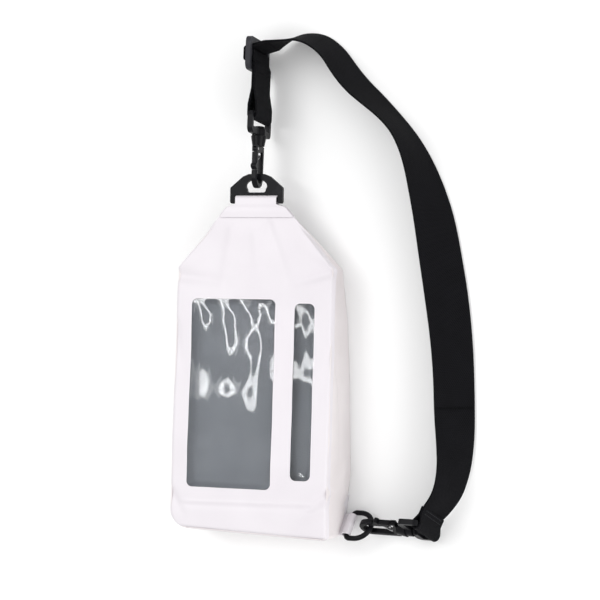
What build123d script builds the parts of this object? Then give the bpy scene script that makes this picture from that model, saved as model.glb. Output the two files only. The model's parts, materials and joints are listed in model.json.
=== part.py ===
"""Sling dry bag with a clear front, two swivel snap hooks and an adjustable webbing strap.

Millimetres. The bag lies on its back: the back panel is in the plane z = 0, +Z is the
outward normal of the front panel, +Y runs towards the hang loop and +X towards the side
that carries the strap ring. The origin is on the back panel, on the bag's centre line.
"""
from build123d import *
from math import atan2, cos, degrees, pi, radians, sin, tan
import os

# ---------------------------------------------------------------- bag body
WALL = 0.8                   # coated fabric of the bag
FILM = 0.5                   # clear film behind the windows
MAIN_WINDOW_WIDTH = 72.0
MAIN_WINDOW_LENGTH = 152.5
SIDE_WINDOW_WIDTH = 17.5
SIDE_WINDOW_LENGTH = 141.5
WINDOW_CORNER = 5.0
LEFT_MARGIN = 14.0           # bag edge to the main window
WINDOW_GAP = 15.5            # main window to the side window
RIGHT_MARGIN = 15.0          # side window to the bag edge
TOP_MARGIN = 24.5            # shoulder to the main window
SIDE_TOP_MARGIN = 28.0       # shoulder to the side window
BOTTOM_MARGIN = 35.0         # main window to the bottom of the bag
SHOULDER_Y = 105.0           # where the square body turns into the gable
GABLE_LENGTH = 49.0          # shoulder to the end of the gable panels
WELD_LENGTH = 7.0            # end of the gable, where front and back are welded flat
GABLE_END_WIDTH = 49.0
BOTTOM_DEPTH = 46.0          # thickness of the packed bag at its bottom
WAIST_DEPTH = 38.5           # and at the height where the side pleats start
SHOULDER_DEPTH = 35.0
WAIST_Y = 60.0
FLARE_Y = -60.0
BACK_FLARE = 6.0             # the filled gussets push the back edges out by this much
PLEAT_DEPTH = 18.0           # how far the side pleat is tucked in at the shoulder
LEFT_CORNER = 14.0           # lower corners, seen from the front
RIGHT_CORNER = 4.0
WELD_OVERLAP = 5.0           # film and pocket wall reach past the window by this much
POCKET_DEPTH = 9.0           # room between the window film and the pocket wall
POCKET_RIM = 2.0             # the rim by which the pocket wall is welded to the film

# ---------------------------------------------------------------- hang loop
LOOP_Z = 33.2                # height of the welded gable end and of the hang loop
LOOP_WIDTH = 44.5
LOOP_THICK = 3.4
LOOP_BAR_R = 1.7             # the round bar that the fold is wrapped round
LOOP_BAR_OUT = 6.2           # the loop's bar stands off the end of the gable by this much
LOOP_ARM = 4.0               # width of the loop's two arms
LOOP_RISE = 20.5             # bar to the top of the arch
EYE_WIDTH = 18.0
EYE_HEIGHT = 10.4
ARCH_BAND = 4.4              # the arch over the eye, which the hook runs on
LOOP_FIT = 0.3               # play between the bar and the fold round it
FOLD_SIDE_PLAY = 4.5         # the fold is this much narrower than the inside of the loop
FOLD_ROOT_STEP = 5.0         # and at its root this much narrower than the gable's end

# ---------------------------------------------------------------- webbing and slider
WEB_WIDTH = 38.0
WEB_THICK = 1.5
WEB_PLAY = 0.2               # between layers of webbing and what they pass
WEB_SLOT_PLAY = 1.0          # slots are longer than the webbing is wide by this much
SLIDER_SIDE = 4.3            # width of the slider's two side bars
SLIDER_LENGTH = 27.0
SLIDER_THICK = 4.0
SLIDER_BAR = 4.5             # the two outer bars
SLIDER_CENTRE_BAR = 4.0
SLIDER_AT = 97.5             # its centre, measured along the hook from the hang loop's arch
SLIDER_OFFSET = -3.8         # the webbing runs over one face of the slider

# ---------------------------------------------------------------- swivel snap hooks
HOOK_THICK = 4.6             # hook body, across its own plane
HOOK_MEMBER = 3.8            # section of the hook, in its plane
THROAT = 9.2                 # clear width inside the hook
THROAT_SLACK = 0.8           # the hook's bend centre lies this far past the bar it holds
HOOK_HEAD = 20.0             # start of the head, from the bar the hook holds
COLLAR_START = 24.7
COLLAR_END = 32.8
COLLAR_R_SMALL = 4.9
COLLAR_R_LARGE = 6.3
STEM_R = 3.0
STEM_PLAY = 0.08
CAP_R = 4.4
CAP_THICK = 1.8
BASE_SIDE = 3.3              # width of the base's two side bars
BASE_THICK = 4.4
BASE_LOWER_BAR = 5.2
BASE_SLOT = 7.5
BASE_UPPER_BAR = 4.8
BASE_BOSS_R = 5.6
RUNNING = 0.4                # gap between collar and base
GATE_THICK = 3.0
GATE_TIP = 4.9               # free end of the gate, from the bar the hook holds
GATE_PIVOT = 22.0
GATE_PIVOT_OUT = 6.2         # pivot, out from the hook's axis
GATE_PIN_R = 1.0
GATE_TONGUE = 1.9            # the gate is thinned here to sit between the cheeks of the head
GATE_PLAY = 0.2

# ---------------------------------------------------------------- strap ring and its tab
RING_WIRE_R = 2.1
RING_INNER = 20.0            # length of the straight bar inside the ring
RING_DEPTH = 18.9            # bar centre line to the far centre line
RING_CORNER = 3.0
TAB_SIDE_PLAY = 1.0          # the tab is this much narrower than the ring's bar
TAB_LENGTH = 8.0
RING_OUT = 8.5               # the ring's bar stands off the gusset by this much
RING_UP = 7.0                # bottom of the bag to the bar
RING_Z = 12.0
RING_TILT = 38.0             # turn of the ring about the lower hook's axis
LOWER_RISE = 11.0            # slope of the lower hook's axis above the ground
LOWER_TWIST = 21.0           # turn of the lower hook's base about that axis
PATCH_LENGTH = 26.0
PATCH_HEIGHT = 20.0
UPPER_FALL = 4.5             # slope of the upper hook's axis, down towards the slider

# ---------------------------------------------------------------- zip on the back gable
ZIP_LENGTH = 78.0
ZIP_TAPE = (88.0, 22.0, 0.8)
ZIP_RISE = 16.0              # shoulder to the zip
ZIP_TOOTH = (1.3, 4.0, 1.4)
ZIP_PITCH = 2.1
ZIP_SLIDER = (12.0, 9.0, 5.0)
ZIP_STOP = (6.0, 8.0, 2.4)
ZIP_PLAY = 0.3
ZIP_MOUTH = 7.0              # slit in the back gable under the zip
PULL = (22.0, 7.0, 1.6)
PULL_PIN_R = 0.8
PULL_RISE = 1.2              # slider's back to the pin

# Sizes that follow from the ones above
BAG_WIDTH = LEFT_MARGIN + MAIN_WINDOW_WIDTH + WINDOW_GAP + SIDE_WINDOW_WIDTH + RIGHT_MARGIN
BOTTOM_Y = SHOULDER_Y - TOP_MARGIN - MAIN_WINDOW_LENGTH - BOTTOM_MARGIN
GABLE_END_Y = SHOULDER_Y + GABLE_LENGTH
WELD_Y = GABLE_END_Y - WELD_LENGTH
HALF = BAG_WIDTH / 2
LOOP_BAR_Y = GABLE_END_Y + LOOP_BAR_OUT
FOLD_END_WIDTH = LOOP_WIDTH - 2 * LOOP_ARM - FOLD_SIDE_PLAY
FOLD_ROOT_WIDTH = GABLE_END_WIDTH - FOLD_ROOT_STEP
WEB_SLOT = WEB_WIDTH + WEB_SLOT_PLAY
SLIDER_WIDTH = WEB_SLOT + 2 * SLIDER_SIDE
BASE_WIDTH = WEB_SLOT + 2 * BASE_SIDE
RING_BAR = (HALF + RING_OUT, BOTTOM_Y + RING_UP, RING_Z)
TAB_WIDTH = RING_INNER - TAB_SIDE_PLAY
BEND_IN = THROAT / 2
BEND_OUT = BEND_IN + HOOK_MEMBER
BASE_START = COLLAR_END + RUNNING
SLOT_START = BASE_START + BASE_LOWER_BAR
UPPER_BAR_AT = SLOT_START + BASE_SLOT + BASE_UPPER_BAR / 2
WRAP_R = BASE_UPPER_BAR / 2 + WEB_PLAY + WEB_THICK / 2
ARCH_Y = LOOP_BAR_Y + LOOP_RISE - ARCH_BAND / 2

# The strap between the slider and the lower hook, which stands on its lower edge: x, y, its
# lean in degrees towards the inside of the loop that it makes, and how far its lower edge
# hangs clear of the ground. It is laid out between the two ends that follow, and moves with
# the slider and the lower hook.
ROUTE_START = (8.2, 284.97)
ROUTE_END = (146.51, -86.54)
ROUTE = [
    (18.0, 288.4, 8, 3.6), (31.0, 291.9, 15, 2.8), (45.5, 289.1, 19, 1.8),
    (58.3, 279.0, 18, 0.8), (67.9, 264.7, 20, 0.3), (78.9, 251.5, 21, 0),
    (91.6, 240.3, 18, 0), (103.7, 229.5, 14, 0), (114.7, 217.9, 13, 0),
    (123.6, 204.3, 17, 0), (130.8, 188.2, 24, 0), (136.8, 167.8, 34, 0),
    (142.9, 143.8, 43, 0), (148.2, 114.8, 48, 0), (153.4, 83.5, 49, 0),
    (157.8, 51.5, 46, 0), (160.6, 20.7, 43, 0), (161.4, -7.5, 43, 0),
    (162.8, -31.7, 36, 0.3), (162.2, -54.1, 29, 0.8), (156.4, -76.0, 25, 1.4),
]


# ================================================================ the bag body
def gable_half(y):
    """Half width of the gable, which narrows in a straight line from the shoulder."""
    share = (y - SHOULDER_Y) / GABLE_LENGTH
    return HALF + share * (GABLE_END_WIDTH / 2 - HALF)


def station(y, front, back, middle, back_half):
    """The bag's section at one height: front and back level, and three half widths."""
    front_half = gable_half(y) if y > SHOULDER_Y else HALF
    return {"y": y, "front": front, "back": back, "front_half": front_half,
            "middle": middle, "back_half": back_half}


PLEAT_END_Y = WELD_Y - 4
BACK_RISE = (LOOP_Z - WALL) / (WELD_Y - SHOULDER_Y)
STATIONS = [
    station(BOTTOM_Y, BOTTOM_DEPTH, 0, HALF, HALF),
    station(BOTTOM_Y + LEFT_CORNER, BOTTOM_DEPTH, 0, HALF, HALF),
    station(FLARE_Y, BOTTOM_DEPTH - 1.5, 0, HALF + BACK_FLARE, HALF + BACK_FLARE),
    station(WAIST_Y, WAIST_DEPTH, 0, HALF - PLEAT_DEPTH / 6, HALF + BACK_FLARE / 3),
    station(SHOULDER_Y, SHOULDER_DEPTH, 0, HALF - PLEAT_DEPTH, HALF - BACK_FLARE / 2),
    station(PLEAT_END_Y, LOOP_Z + WALL + 0.1, BACK_RISE * (PLEAT_END_Y - SHOULDER_Y),
            gable_half(PLEAT_END_Y) - PLEAT_DEPTH / 2, gable_half(PLEAT_END_Y)),
    station(WELD_Y, LOOP_Z + WALL, LOOP_Z - WALL, gable_half(WELD_Y), gable_half(WELD_Y)),
    station(GABLE_END_Y, LOOP_Z + WALL, LOOP_Z - WALL, GABLE_END_WIDTH / 2, GABLE_END_WIDTH / 2),
]


def ruled(outlines):
    """A solid through closed outlines, joined by straight faces."""
    wires = [Wire.make_polygon([Vector(*p) for p in outline], close=True) for outline in outlines]
    return Part() + Solid.make_loft(wires, ruled=True)


def sheet(half, top, thick, stations):
    """A flat sheet across the bag, whose level follows the stations."""
    def outline(s):
        w, z, y = half(s), top(s), s["y"]
        return [(-w, y, z - thick), (w, y, z - thick), (w, y, z), (-w, y, z)]
    return ruled([outline(s) for s in stations])


def corner(side):
    return LEFT_CORNER if side < 0 else RIGHT_CORNER


def rounded_corners(part):
    """A sheet with its two lower corners rounded."""
    for side in (-1, 1):
        ends = [e for e in part.edges().filter_by(Axis.Z)
                if abs(e.center().Y - BOTTOM_Y) < 0.1 and side * e.center().X > 0]
        part = fillet(ends, corner(side) - 0.02)
    return part


def window_prism(width, length, left, top_margin, grow=0.0):
    """An upright prism with a window's outline, grown on every side."""
    centre_x = -HALF + left + width / 2
    centre_y = SHOULDER_Y - top_margin - length / 2
    shape = RectangleRounded(width + 2 * grow, length + 2 * grow, WINDOW_CORNER + grow / 2)
    return Pos(centre_x, centre_y, 0) * extrude(shape, 2 * BOTTOM_DEPTH)


def main_prism(grow=0.0):
    return window_prism(MAIN_WINDOW_WIDTH, MAIN_WINDOW_LENGTH, LEFT_MARGIN, TOP_MARGIN, grow)


def side_prism(grow=0.0):
    left = LEFT_MARGIN + MAIN_WINDOW_WIDTH + WINDOW_GAP
    return window_prism(SIDE_WINDOW_WIDTH, SIDE_WINDOW_LENGTH, left, SIDE_TOP_MARGIN, grow)


def front_sheet(below, thick):
    """A layer parallel to the front panel, its upper face this far below the panel's."""
    return sheet(lambda s: s["front_half"], lambda s: s["front"] - below, thick, STATIONS)


def front_panel():
    return rounded_corners(front_sheet(0, WALL)) - main_prism() - side_prism()


def zip_plane():
    """On the back gable's outer face, x along the zip, z out of the bag."""
    middle_y = SHOULDER_Y + ZIP_RISE
    slope = atan2(BACK_RISE, 1)
    origin = (0, middle_y, BACK_RISE * (middle_y - SHOULDER_Y))
    return Plane(origin, x_dir=(1, 0, 0), z_dir=(0, sin(slope), -cos(slope)))


def back_panel():
    panel = sheet(lambda s: s["back_half"], lambda s: s["back"] + WALL, WALL, STATIONS)
    mouth = zip_plane() * Box(ZIP_LENGTH, ZIP_MOUTH, 8 * WALL)
    return rounded_corners(panel) - mouth


def gusset(side):
    """A side wall, folded inwards along its middle towards the top of the bag."""
    def outline(s):
        lean = abs(s["front_half"] - s["middle"]) / (s["front"] - s["back"])
        thick = side * WALL * (1 + lean)
        low, high = s["back"] + WALL, s["front"] - WALL
        middle = (low + high) / 2
        outer = [(side * s["front_half"], high), (side * s["middle"], middle),
                 (side * s["back_half"], low)]
        inner = [(x - thick, z) for x, z in reversed(outer)]
        return [(x, s["y"], z) for x, z in outer + inner]
    foot = dict(STATIONS[1], y=BOTTOM_Y + corner(side))
    return ruled([outline(s) for s in [foot] + STATIONS[2:6]])


def bottom_gusset():
    """The strip that closes the bottom, with the two rounded lower corners."""
    edge = HALF - WALL / 2
    low = BOTTOM_Y + WALL / 2
    path = FilletPolyline((-edge, BOTTOM_Y + LEFT_CORNER), (-edge, low), (edge, low),
                          (edge, BOTTOM_Y + RIGHT_CORNER),
                          radius=[LEFT_CORNER - WALL / 2 - 0.01, RIGHT_CORNER - WALL / 2 - 0.01])
    return Pos(0, 0, WALL) * extrude(trace(path, WALL), BOTTOM_DEPTH - 2 * WALL)


def window_film(prism):
    return front_sheet(WALL, FILM) & prism(WELD_OVERLAP)


def pocket_wall():
    """A dished sheet behind both windows: it holds what is shown against the film."""
    skin = WALL + FILM
    left = -HALF + LEFT_MARGIN - WELD_OVERLAP
    right = HALF - RIGHT_MARGIN + WELD_OVERLAP
    bottom = SHOULDER_Y - TOP_MARGIN - MAIN_WINDOW_LENGTH - WELD_OVERLAP
    top = SHOULDER_Y - TOP_MARGIN + WELD_OVERLAP
    middle = Pos((left + right) / 2, (bottom + top) / 2)
    whole = extrude(middle * RectangleRounded(right - left, top - bottom, WINDOW_CORNER),
                    2 * BOTTOM_DEPTH)
    hollow = extrude(middle * Pos(0, POCKET_RIM) * Rectangle(
        right - left - 2 * POCKET_RIM, top - bottom), 2 * BOTTOM_DEPTH)
    block = front_sheet(skin, POCKET_DEPTH + WALL) & whole
    return block - (front_sheet(skin, POCKET_DEPTH) & hollow)


def top_fold():
    """The tongue that wraps the hang loop's bar and is welded on to both gable faces."""
    out = LOOP_Z + WALL                       # outer face of the gable's end
    bend = LOOP_BAR_R + LOOP_FIT + WALL / 2   # centre line round the bar
    root = WELD_Y + 0.4
    leg = out + WALL / 2
    path = FilletPolyline(
        (root, leg), (GABLE_END_Y + 0.5, leg), (LOOP_BAR_Y - bend, LOOP_Z + bend),
        (LOOP_BAR_Y + bend, LOOP_Z + bend), (LOOP_BAR_Y + bend, LOOP_Z - bend),
        (LOOP_BAR_Y - bend, LOOP_Z - bend), (GABLE_END_Y + 0.5, 2 * LOOP_Z - leg),
        (root, 2 * LOOP_Z - leg), radius=[1.5, 1.5, bend - 0.05, bend - 0.05, 1.5, 1.5])
    loop = extrude(Plane.YZ * trace(path, WALL), BAG_WIDTH / 2, both=True)
    neck = LOOP_BAR_Y - LOOP_BAR_R - 2
    root_half, end_half = FOLD_ROOT_WIDTH / 2, FOLD_END_WIDTH / 2
    outline = Polyline((-root_half, root), (root_half, root), (end_half + 1, neck),
                       (end_half, LOOP_BAR_Y + 4), (-end_half, LOOP_BAR_Y + 4),
                       (-end_half - 1, neck), close=True)
    return loop & extrude(make_face(outline), 2 * BOTTOM_DEPTH)


# ================================================================ hang loop and strap ring
def hang_loop():
    half = LOOP_WIDTH / 2
    top = LOOP_BAR_Y + LOOP_RISE
    bar = LOOP_BAR_Y
    foot = bar - 3.2
    shoulder = top - 11
    outline = FilletPolyline(
        (-half, foot), (-half, shoulder), (-half * 0.52, top - 2), (-half * 0.3, top),
        (half * 0.3, top), (half * 0.52, top - 2), (half, shoulder), (half, foot),
        close=True, radius=1.6)
    plate = make_face(outline)
    eye_floor = top - ARCH_BAND - EYE_HEIGHT
    eye = Pos(0, eye_floor + EYE_HEIGHT / 2) * Ellipse(EYE_WIDTH / 2, EYE_HEIGHT / 2)
    eye += Pos(0, eye_floor + EYE_HEIGHT / 4) * RectangleRounded(
        EYE_WIDTH - 2, EYE_HEIGHT / 2, 2)
    slot_top = eye_floor - 2.2
    slot = Pos(0, (slot_top + foot - 2) / 2) * Rectangle(
        LOOP_WIDTH - 2 * LOOP_ARM, slot_top - foot + 2)
    plate = extrude(plate - eye - slot, LOOP_THICK / 2, both=True)
    rod = Pos(0, bar, 0) * Rot(0, 90, 0) * Cylinder(LOOP_BAR_R, LOOP_WIDTH - LOOP_ARM)
    return Pos(0, 0, LOOP_Z) * (plate + rod)


def hook_frame(contact, axis, gate):
    """The plane of a hook: origin where it bears, y along its axis, z towards its gate."""
    axis, gate = Vector(*axis), Vector(*gate)
    return Plane(contact, x_dir=axis.cross(gate), z_dir=gate)


FALL = radians(UPPER_FALL)
RISE = radians(LOWER_RISE)
TILT = radians(RING_TILT)
TWIST = radians(LOWER_TWIST)
UPPER = hook_frame((0, ARCH_Y, LOOP_Z), (0, cos(FALL), -sin(FALL)), (0, sin(FALL), cos(FALL)))
LOWER_AXIS = (cos(RISE), 0, sin(RISE))
LOWER_GATE = (-sin(RISE) * cos(TILT), sin(TILT), cos(RISE) * cos(TILT))
RING = hook_frame(RING_BAR, LOWER_AXIS, LOWER_GATE)
LOWER = hook_frame(RING.from_local_coords((0, RING_DEPTH, 0)), LOWER_AXIS, LOWER_GATE)
LOWER_BASE = hook_frame(LOWER.origin, LOWER_AXIS, (
    -sin(RISE) * cos(TWIST), sin(TWIST), cos(RISE) * cos(TWIST)))


def place(frame, part):
    return frame.location * part


def strap_ring():
    """A D-shaped ring of round section, its straight bar on the local x axis."""
    half = RING_INNER / 2 + RING_WIRE_R
    path = FilletPolyline((0, 0), (half, 0), (half, RING_DEPTH), (0, RING_DEPTH),
                          radius=[RING_CORNER, half - 0.1])
    section = Plane((0, 0, 0), z_dir=(1, 0, 0)) * Circle(RING_WIRE_R)
    side = sweep(section, path=path)
    return place(RING, side + mirror(side, about=Plane.YZ))


def side_tab():
    """A folded tongue round the ring's bar, welded to the patch on the gusset."""
    bend = RING_WIRE_R + LOOP_FIT + WALL / 2
    path = FilletPolyline((-TAB_LENGTH, 0.6), (-bend - 1.2, 0.6), (-bend, bend), (bend, bend),
                          (bend, -bend), (-bend, -bend), (-bend - 1.2, -0.6),
                          (-TAB_LENGTH, -0.6), radius=[0.8, 1.0, bend - 0.05, bend - 0.05, 1.0, 0.8])
    tab = extrude(Plane.YZ * trace(path, WALL), TAB_WIDTH / 2, both=True)
    bag = Pos(0, 0, BOTTOM_DEPTH / 2) * Box(BAG_WIDTH + 0.1, 3 * BAG_WIDTH, 2 * BOTTOM_DEPTH)
    return place(RING, tab) - patch_prism(-BAG_WIDTH / 2, WALL) - bag


def patch_prism(inner, outer):
    """Upright prism on the right gusset, between two offsets from the gusset's face."""
    foot = BOTTOM_Y + RIGHT_CORNER
    slope = BACK_FLARE / (FLARE_Y - foot)
    far = foot + PATCH_LENGTH
    grow = slope * PATCH_LENGTH
    outline = Polyline((HALF + inner, foot), (HALF + outer, foot), (HALF + grow + outer, far),
                       (HALF + grow + inner, far), close=True)
    return Pos(0, 0, 2 * WALL) * extrude(make_face(outline), PATCH_HEIGHT)


def tab_patch():
    """The stiffening patch on the gusset behind the tab."""
    return patch_prism(0, WALL)


# ================================================================ hooks, built about their frame
def hook_body():
    centre = -THROAT_SLACK
    ring = Circle(BEND_OUT) - Circle(BEND_IN)
    ring &= Pos(-BEND_OUT, 0) * Rectangle(2 * BEND_OUT, 4 * BEND_OUT)
    member = BEND_IN + HOOK_MEMBER / 2
    tip = GATE_TIP - GATE_PLAY * 2
    profile = Pos(centre, 0) * ring
    profile += Pos((centre + COLLAR_START) / 2, -member) * Rectangle(
        COLLAR_START - centre, HOOK_MEMBER)
    profile += Pos((centre + tip) / 2, member) * Rectangle(tip - centre, HOOK_MEMBER)
    head_top = GATE_PIVOT_OUT + 2.2
    profile += Pos((HOOK_HEAD + COLLAR_START) / 2, (head_top - BEND_IN) / 2) * Rectangle(
        COLLAR_START - HOOK_HEAD, head_top + BEND_IN)
    body = extrude(Plane.YZ * profile, HOOK_THICK / 2, both=True)
    body = fillet(body.edges().filter_by(GeomType.CIRCLE).filter_by(
        lambda e: abs(e.radius - BEND_OUT) < 0.1 or abs(e.radius - BEND_IN) < 0.1), 0.9)
    slot = Pos(0, HOOK_HEAD + 3, GATE_PIVOT_OUT) * Box(
        GATE_TONGUE + 2 * GATE_PLAY, 10, 2 * (GATE_PIVOT_OUT - 2))
    body -= slot & Pos(0, HOOK_HEAD, 0) * Box(BAG_WIDTH, 2 * (COLLAR_START - 0.8 - HOOK_HEAD), BAG_WIDTH)
    bore = Pos(0, GATE_PIVOT, GATE_PIVOT_OUT) * Rot(0, 90, 0) * Cylinder(GATE_PIN_R, 2 * HOOK_THICK)
    body -= bore
    collar = Pos(0, (COLLAR_START + COLLAR_END) / 2, 0) * Rot(-90, 0, 0) * Cone(
        COLLAR_R_SMALL, COLLAR_R_LARGE, COLLAR_END - COLLAR_START)
    stem_end = SLOT_START + RUNNING
    stem = Pos(0, (COLLAR_END + stem_end) / 2, 0) * Rot(90, 0, 0) * Cylinder(
        STEM_R, stem_end - COLLAR_END + 1)
    cap = Pos(0, stem_end + CAP_THICK / 2, 0) * Rot(90, 0, 0) * Cylinder(CAP_R, CAP_THICK)
    cap = fillet(cap.edges(), 0.5)
    return body + collar + stem + cap


def hook_gate():
    """The sprung lever that closes the hook, with its thumb nub and its hinge eye."""
    low, high = BEND_IN + 0.4, BEND_IN + 0.4 + GATE_THICK
    lever = Pos((GATE_TIP + HOOK_HEAD - 0.6) / 2, (low + high) / 2) * Rectangle(
        HOOK_HEAD - 0.6 - GATE_TIP, GATE_THICK)
    nub = Pos(GATE_TIP + 3, high) * Ellipse(2.2, 2.6)
    body = extrude(Plane.YZ * (lever + nub), HOOK_THICK / 2, both=True)
    eye = Pos(GATE_PIVOT, GATE_PIVOT_OUT) * Circle(1.9)
    neck = Pos((HOOK_HEAD - 1.5 + GATE_PIVOT) / 2, GATE_PIVOT_OUT - 0.1) * Rectangle(
        GATE_PIVOT - HOOK_HEAD + 1.5, 2.4)
    tongue = extrude(Plane.YZ * (eye + neck), GATE_TONGUE / 2, both=True)
    bore = Pos(0, GATE_PIVOT, GATE_PIVOT_OUT) * Rot(0, 90, 0) * Cylinder(
        GATE_PIN_R + STEM_PLAY, 2 * HOOK_THICK)
    return body + tongue - bore


def gate_pin():
    pin = Rot(0, 90, 0) * Cylinder(GATE_PIN_R, HOOK_THICK)
    return Pos(0, GATE_PIVOT, GATE_PIVOT_OUT) * pin


def gate_spring():
    """A leaf from the hook's spine to the inner face of the gate."""
    path = FilletPolyline((HOOK_HEAD - 0.1, -BEND_IN + 1.6), (HOOK_HEAD - 2.5, -BEND_IN + 1.6),
                          (HOOK_HEAD - 9.5, BEND_IN + 0.1), (HOOK_HEAD - 11, BEND_IN + 0.1),
                          radius=1.0)
    return extrude(Plane.YZ * trace(path, 0.5), 1.0, both=True)


def hook_base():
    """The frame that the webbing is looped through; the hook's stem turns in it."""
    length = BASE_LOWER_BAR + BASE_SLOT + BASE_UPPER_BAR
    middle = BASE_START + length / 2
    plate = Pos(middle, 0) * RectangleRounded(length, BASE_WIDTH, 4.5)
    plate -= Pos(SLOT_START + BASE_SLOT / 2, 0) * RectangleRounded(BASE_SLOT, WEB_SLOT, 0.5)
    plate -= Pos(UPPER_BAR_AT, 0) * Rectangle(BASE_UPPER_BAR + 0.01, WEB_SLOT)
    frame = extrude(Plane.YZ * plate, BASE_THICK / 2, both=True)
    bar = RectangleRounded(BASE_THICK, BASE_UPPER_BAR, 1.8)
    frame += Pos(0, UPPER_BAR_AT, 0) * extrude(bar, WEB_SLOT / 2 + 1, both=True)
    boss = Pos(0, BASE_START + BASE_LOWER_BAR / 2, 0) * Rot(90, 0, 0) * Cylinder(
        BASE_BOSS_R, BASE_LOWER_BAR)
    bore = Pos(0, BASE_START + BASE_LOWER_BAR / 2, 0) * Rot(90, 0, 0) * Cylinder(
        STEM_R + STEM_PLAY, 3 * BASE_LOWER_BAR)
    clear = Pos(0, SLOT_START + BASE_SLOT / 2, 0) * Box(4 * BASE_BOSS_R, BASE_SLOT, 2 * CAP_R + 1)
    return frame + boss - bore - clear


# ================================================================ webbing
def band(points, radii, width=WEB_WIDTH):
    """Webbing standing on its edge along a path in a hook's own x-y plane."""
    flat = trace(FilletPolyline(*points, radius=radii), WEB_THICK)
    return extrude(flat, width / 2, both=True)


BELOW_SLIDER = SLIDER_AT - SLIDER_LENGTH / 2 - 0.5
LAYER = WEB_THICK / 2 + WEB_PLAY / 2
EDGE = SLIDER_CENTRE_BAR / 2 + WEB_PLAY + WEB_THICK / 2      # first layer round the centre bar
OVER = EDGE + WEB_THICK + WEB_PLAY                           # second layer over it
INNER_LEG = -LAYER - SLIDER_OFFSET
OUTER_LEG = LAYER - SLIDER_OFFSET


def adjuster_webbing():
    """The doubled webbing between the slider and the upper hook's base."""
    return band([(-LAYER, BELOW_SLIDER), (-LAYER, BELOW_SLIDER - 14), (-WRAP_R, UPPER_BAR_AT + 8),
                 (-WRAP_R, UPPER_BAR_AT - WRAP_R), (WRAP_R, UPPER_BAR_AT - WRAP_R),
                 (WRAP_R, UPPER_BAR_AT + 8), (LAYER, BELOW_SLIDER - 14), (LAYER, BELOW_SLIDER)],
                [20, 12, WRAP_R - 0.05, WRAP_R - 0.05, 12, 20])


def slider_frame():
    """The three-bar adjuster, in its own plane, its bars along local z."""
    plate = RectangleRounded(SLIDER_LENGTH, SLIDER_WIDTH, 5)
    slot = (SLIDER_LENGTH - 2 * SLIDER_BAR - SLIDER_CENTRE_BAR) / 2
    offset = (SLIDER_CENTRE_BAR + slot) / 2
    for side in (-1, 1):
        plate -= Pos(side * offset, 0) * RectangleRounded(slot, WEB_SLOT, 0.5)
    frame = extrude(Plane.YZ * plate, SLIDER_THICK / 2, both=True)
    return Pos(SLIDER_OFFSET, SLIDER_AT, 0) * frame


EXIT_TRAVEL = (16.65, 4.4)   # direction in which the strap leaves the slider
EXIT = (SLIDER_OFFSET + 12.0, SLIDER_AT + 9.3)


def slider_webbing():
    """The sewn end round the centre bar, and the layer that runs over it and out."""
    below = BELOW_SLIDER - SLIDER_AT
    sewn = band([(OUTER_LEG, below), (OUTER_LEG, -9.2), (EDGE, -4.6), (EDGE, EDGE),
                 (-EDGE, EDGE), (-EDGE, -EDGE), (EDGE - 1.5, -EDGE)],
                [1.2, 1.2, 1.4, 1.4, 1.4])
    back = (-OVER, 4.9)
    end = (EXIT[0] - SLIDER_OFFSET, EXIT[1] - SLIDER_AT)
    running = band([(INNER_LEG, below), (INNER_LEG, -8.2), (-OVER, -4.9), back, end],
                   [1.0, 1.6, 1.6])
    return Pos(SLIDER_OFFSET, SLIDER_AT, 0) * (sewn + running)


LEG_TURN = radians(74)       # the lower end of the strap leaves the hook's base at this angle
LEG_LENGTH = 15.0
LEG_SEWN = 7.0               # the length over which its two legs lie together


def strap_end_path():
    """Both legs of the lower end, in the lower base's own plane, and where they meet."""
    centre = Vector(0, UPPER_BAR_AT)
    away = Vector(-sin(LEG_TURN), cos(LEG_TURN))
    across = Vector(cos(LEG_TURN), sin(LEG_TURN))
    tip = centre + away * LEG_LENGTH
    return centre, away, across, tip


def strap_end_webbing():
    """The lower end of the strap, folded round the base's bar and sewn to itself."""
    centre, away, across, tip = strap_end_path()
    meet = tip - away * LEG_SEWN
    points = [tip + across * LAYER, meet + across * LAYER, centre + across * WRAP_R + away * 2,
              centre + across * WRAP_R - away * WRAP_R, centre - across * WRAP_R - away * WRAP_R,
              centre - across * WRAP_R + away * 2, meet - across * LAYER, tip - across * LAYER]
    return band([(p.X, p.Y) for p in points], [3, 2, WRAP_R - 0.05, WRAP_R - 0.05, 2, 3])


def stitches(rows, length, offset, pitch=3.0):
    """Rows of thread across the webbing, standing a little proud of both faces."""
    thread = Box(offset * 2 + 0.5, 0.6, 1.9)
    count = int(length // pitch)
    made = [Pos(0, row, (i - (count - 1) / 2) * pitch) * thread
            for row in rows for i in range(count)]
    return Compound(children=made)


def ribbon(stations):
    """Webbing through stations of (centre, direction of its width, direction of travel)."""
    outlines = []
    for centre, width, travel in stations:
        across = width.normalized() * (WEB_WIDTH / 2)
        face = travel.cross(width).normalized() * (WEB_THICK / 2)
        corners = [centre + across + face, centre - across + face,
                   centre - across - face, centre + across - face]
        outlines.append([tuple(c) for c in corners])
    return ruled(outlines)


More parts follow.
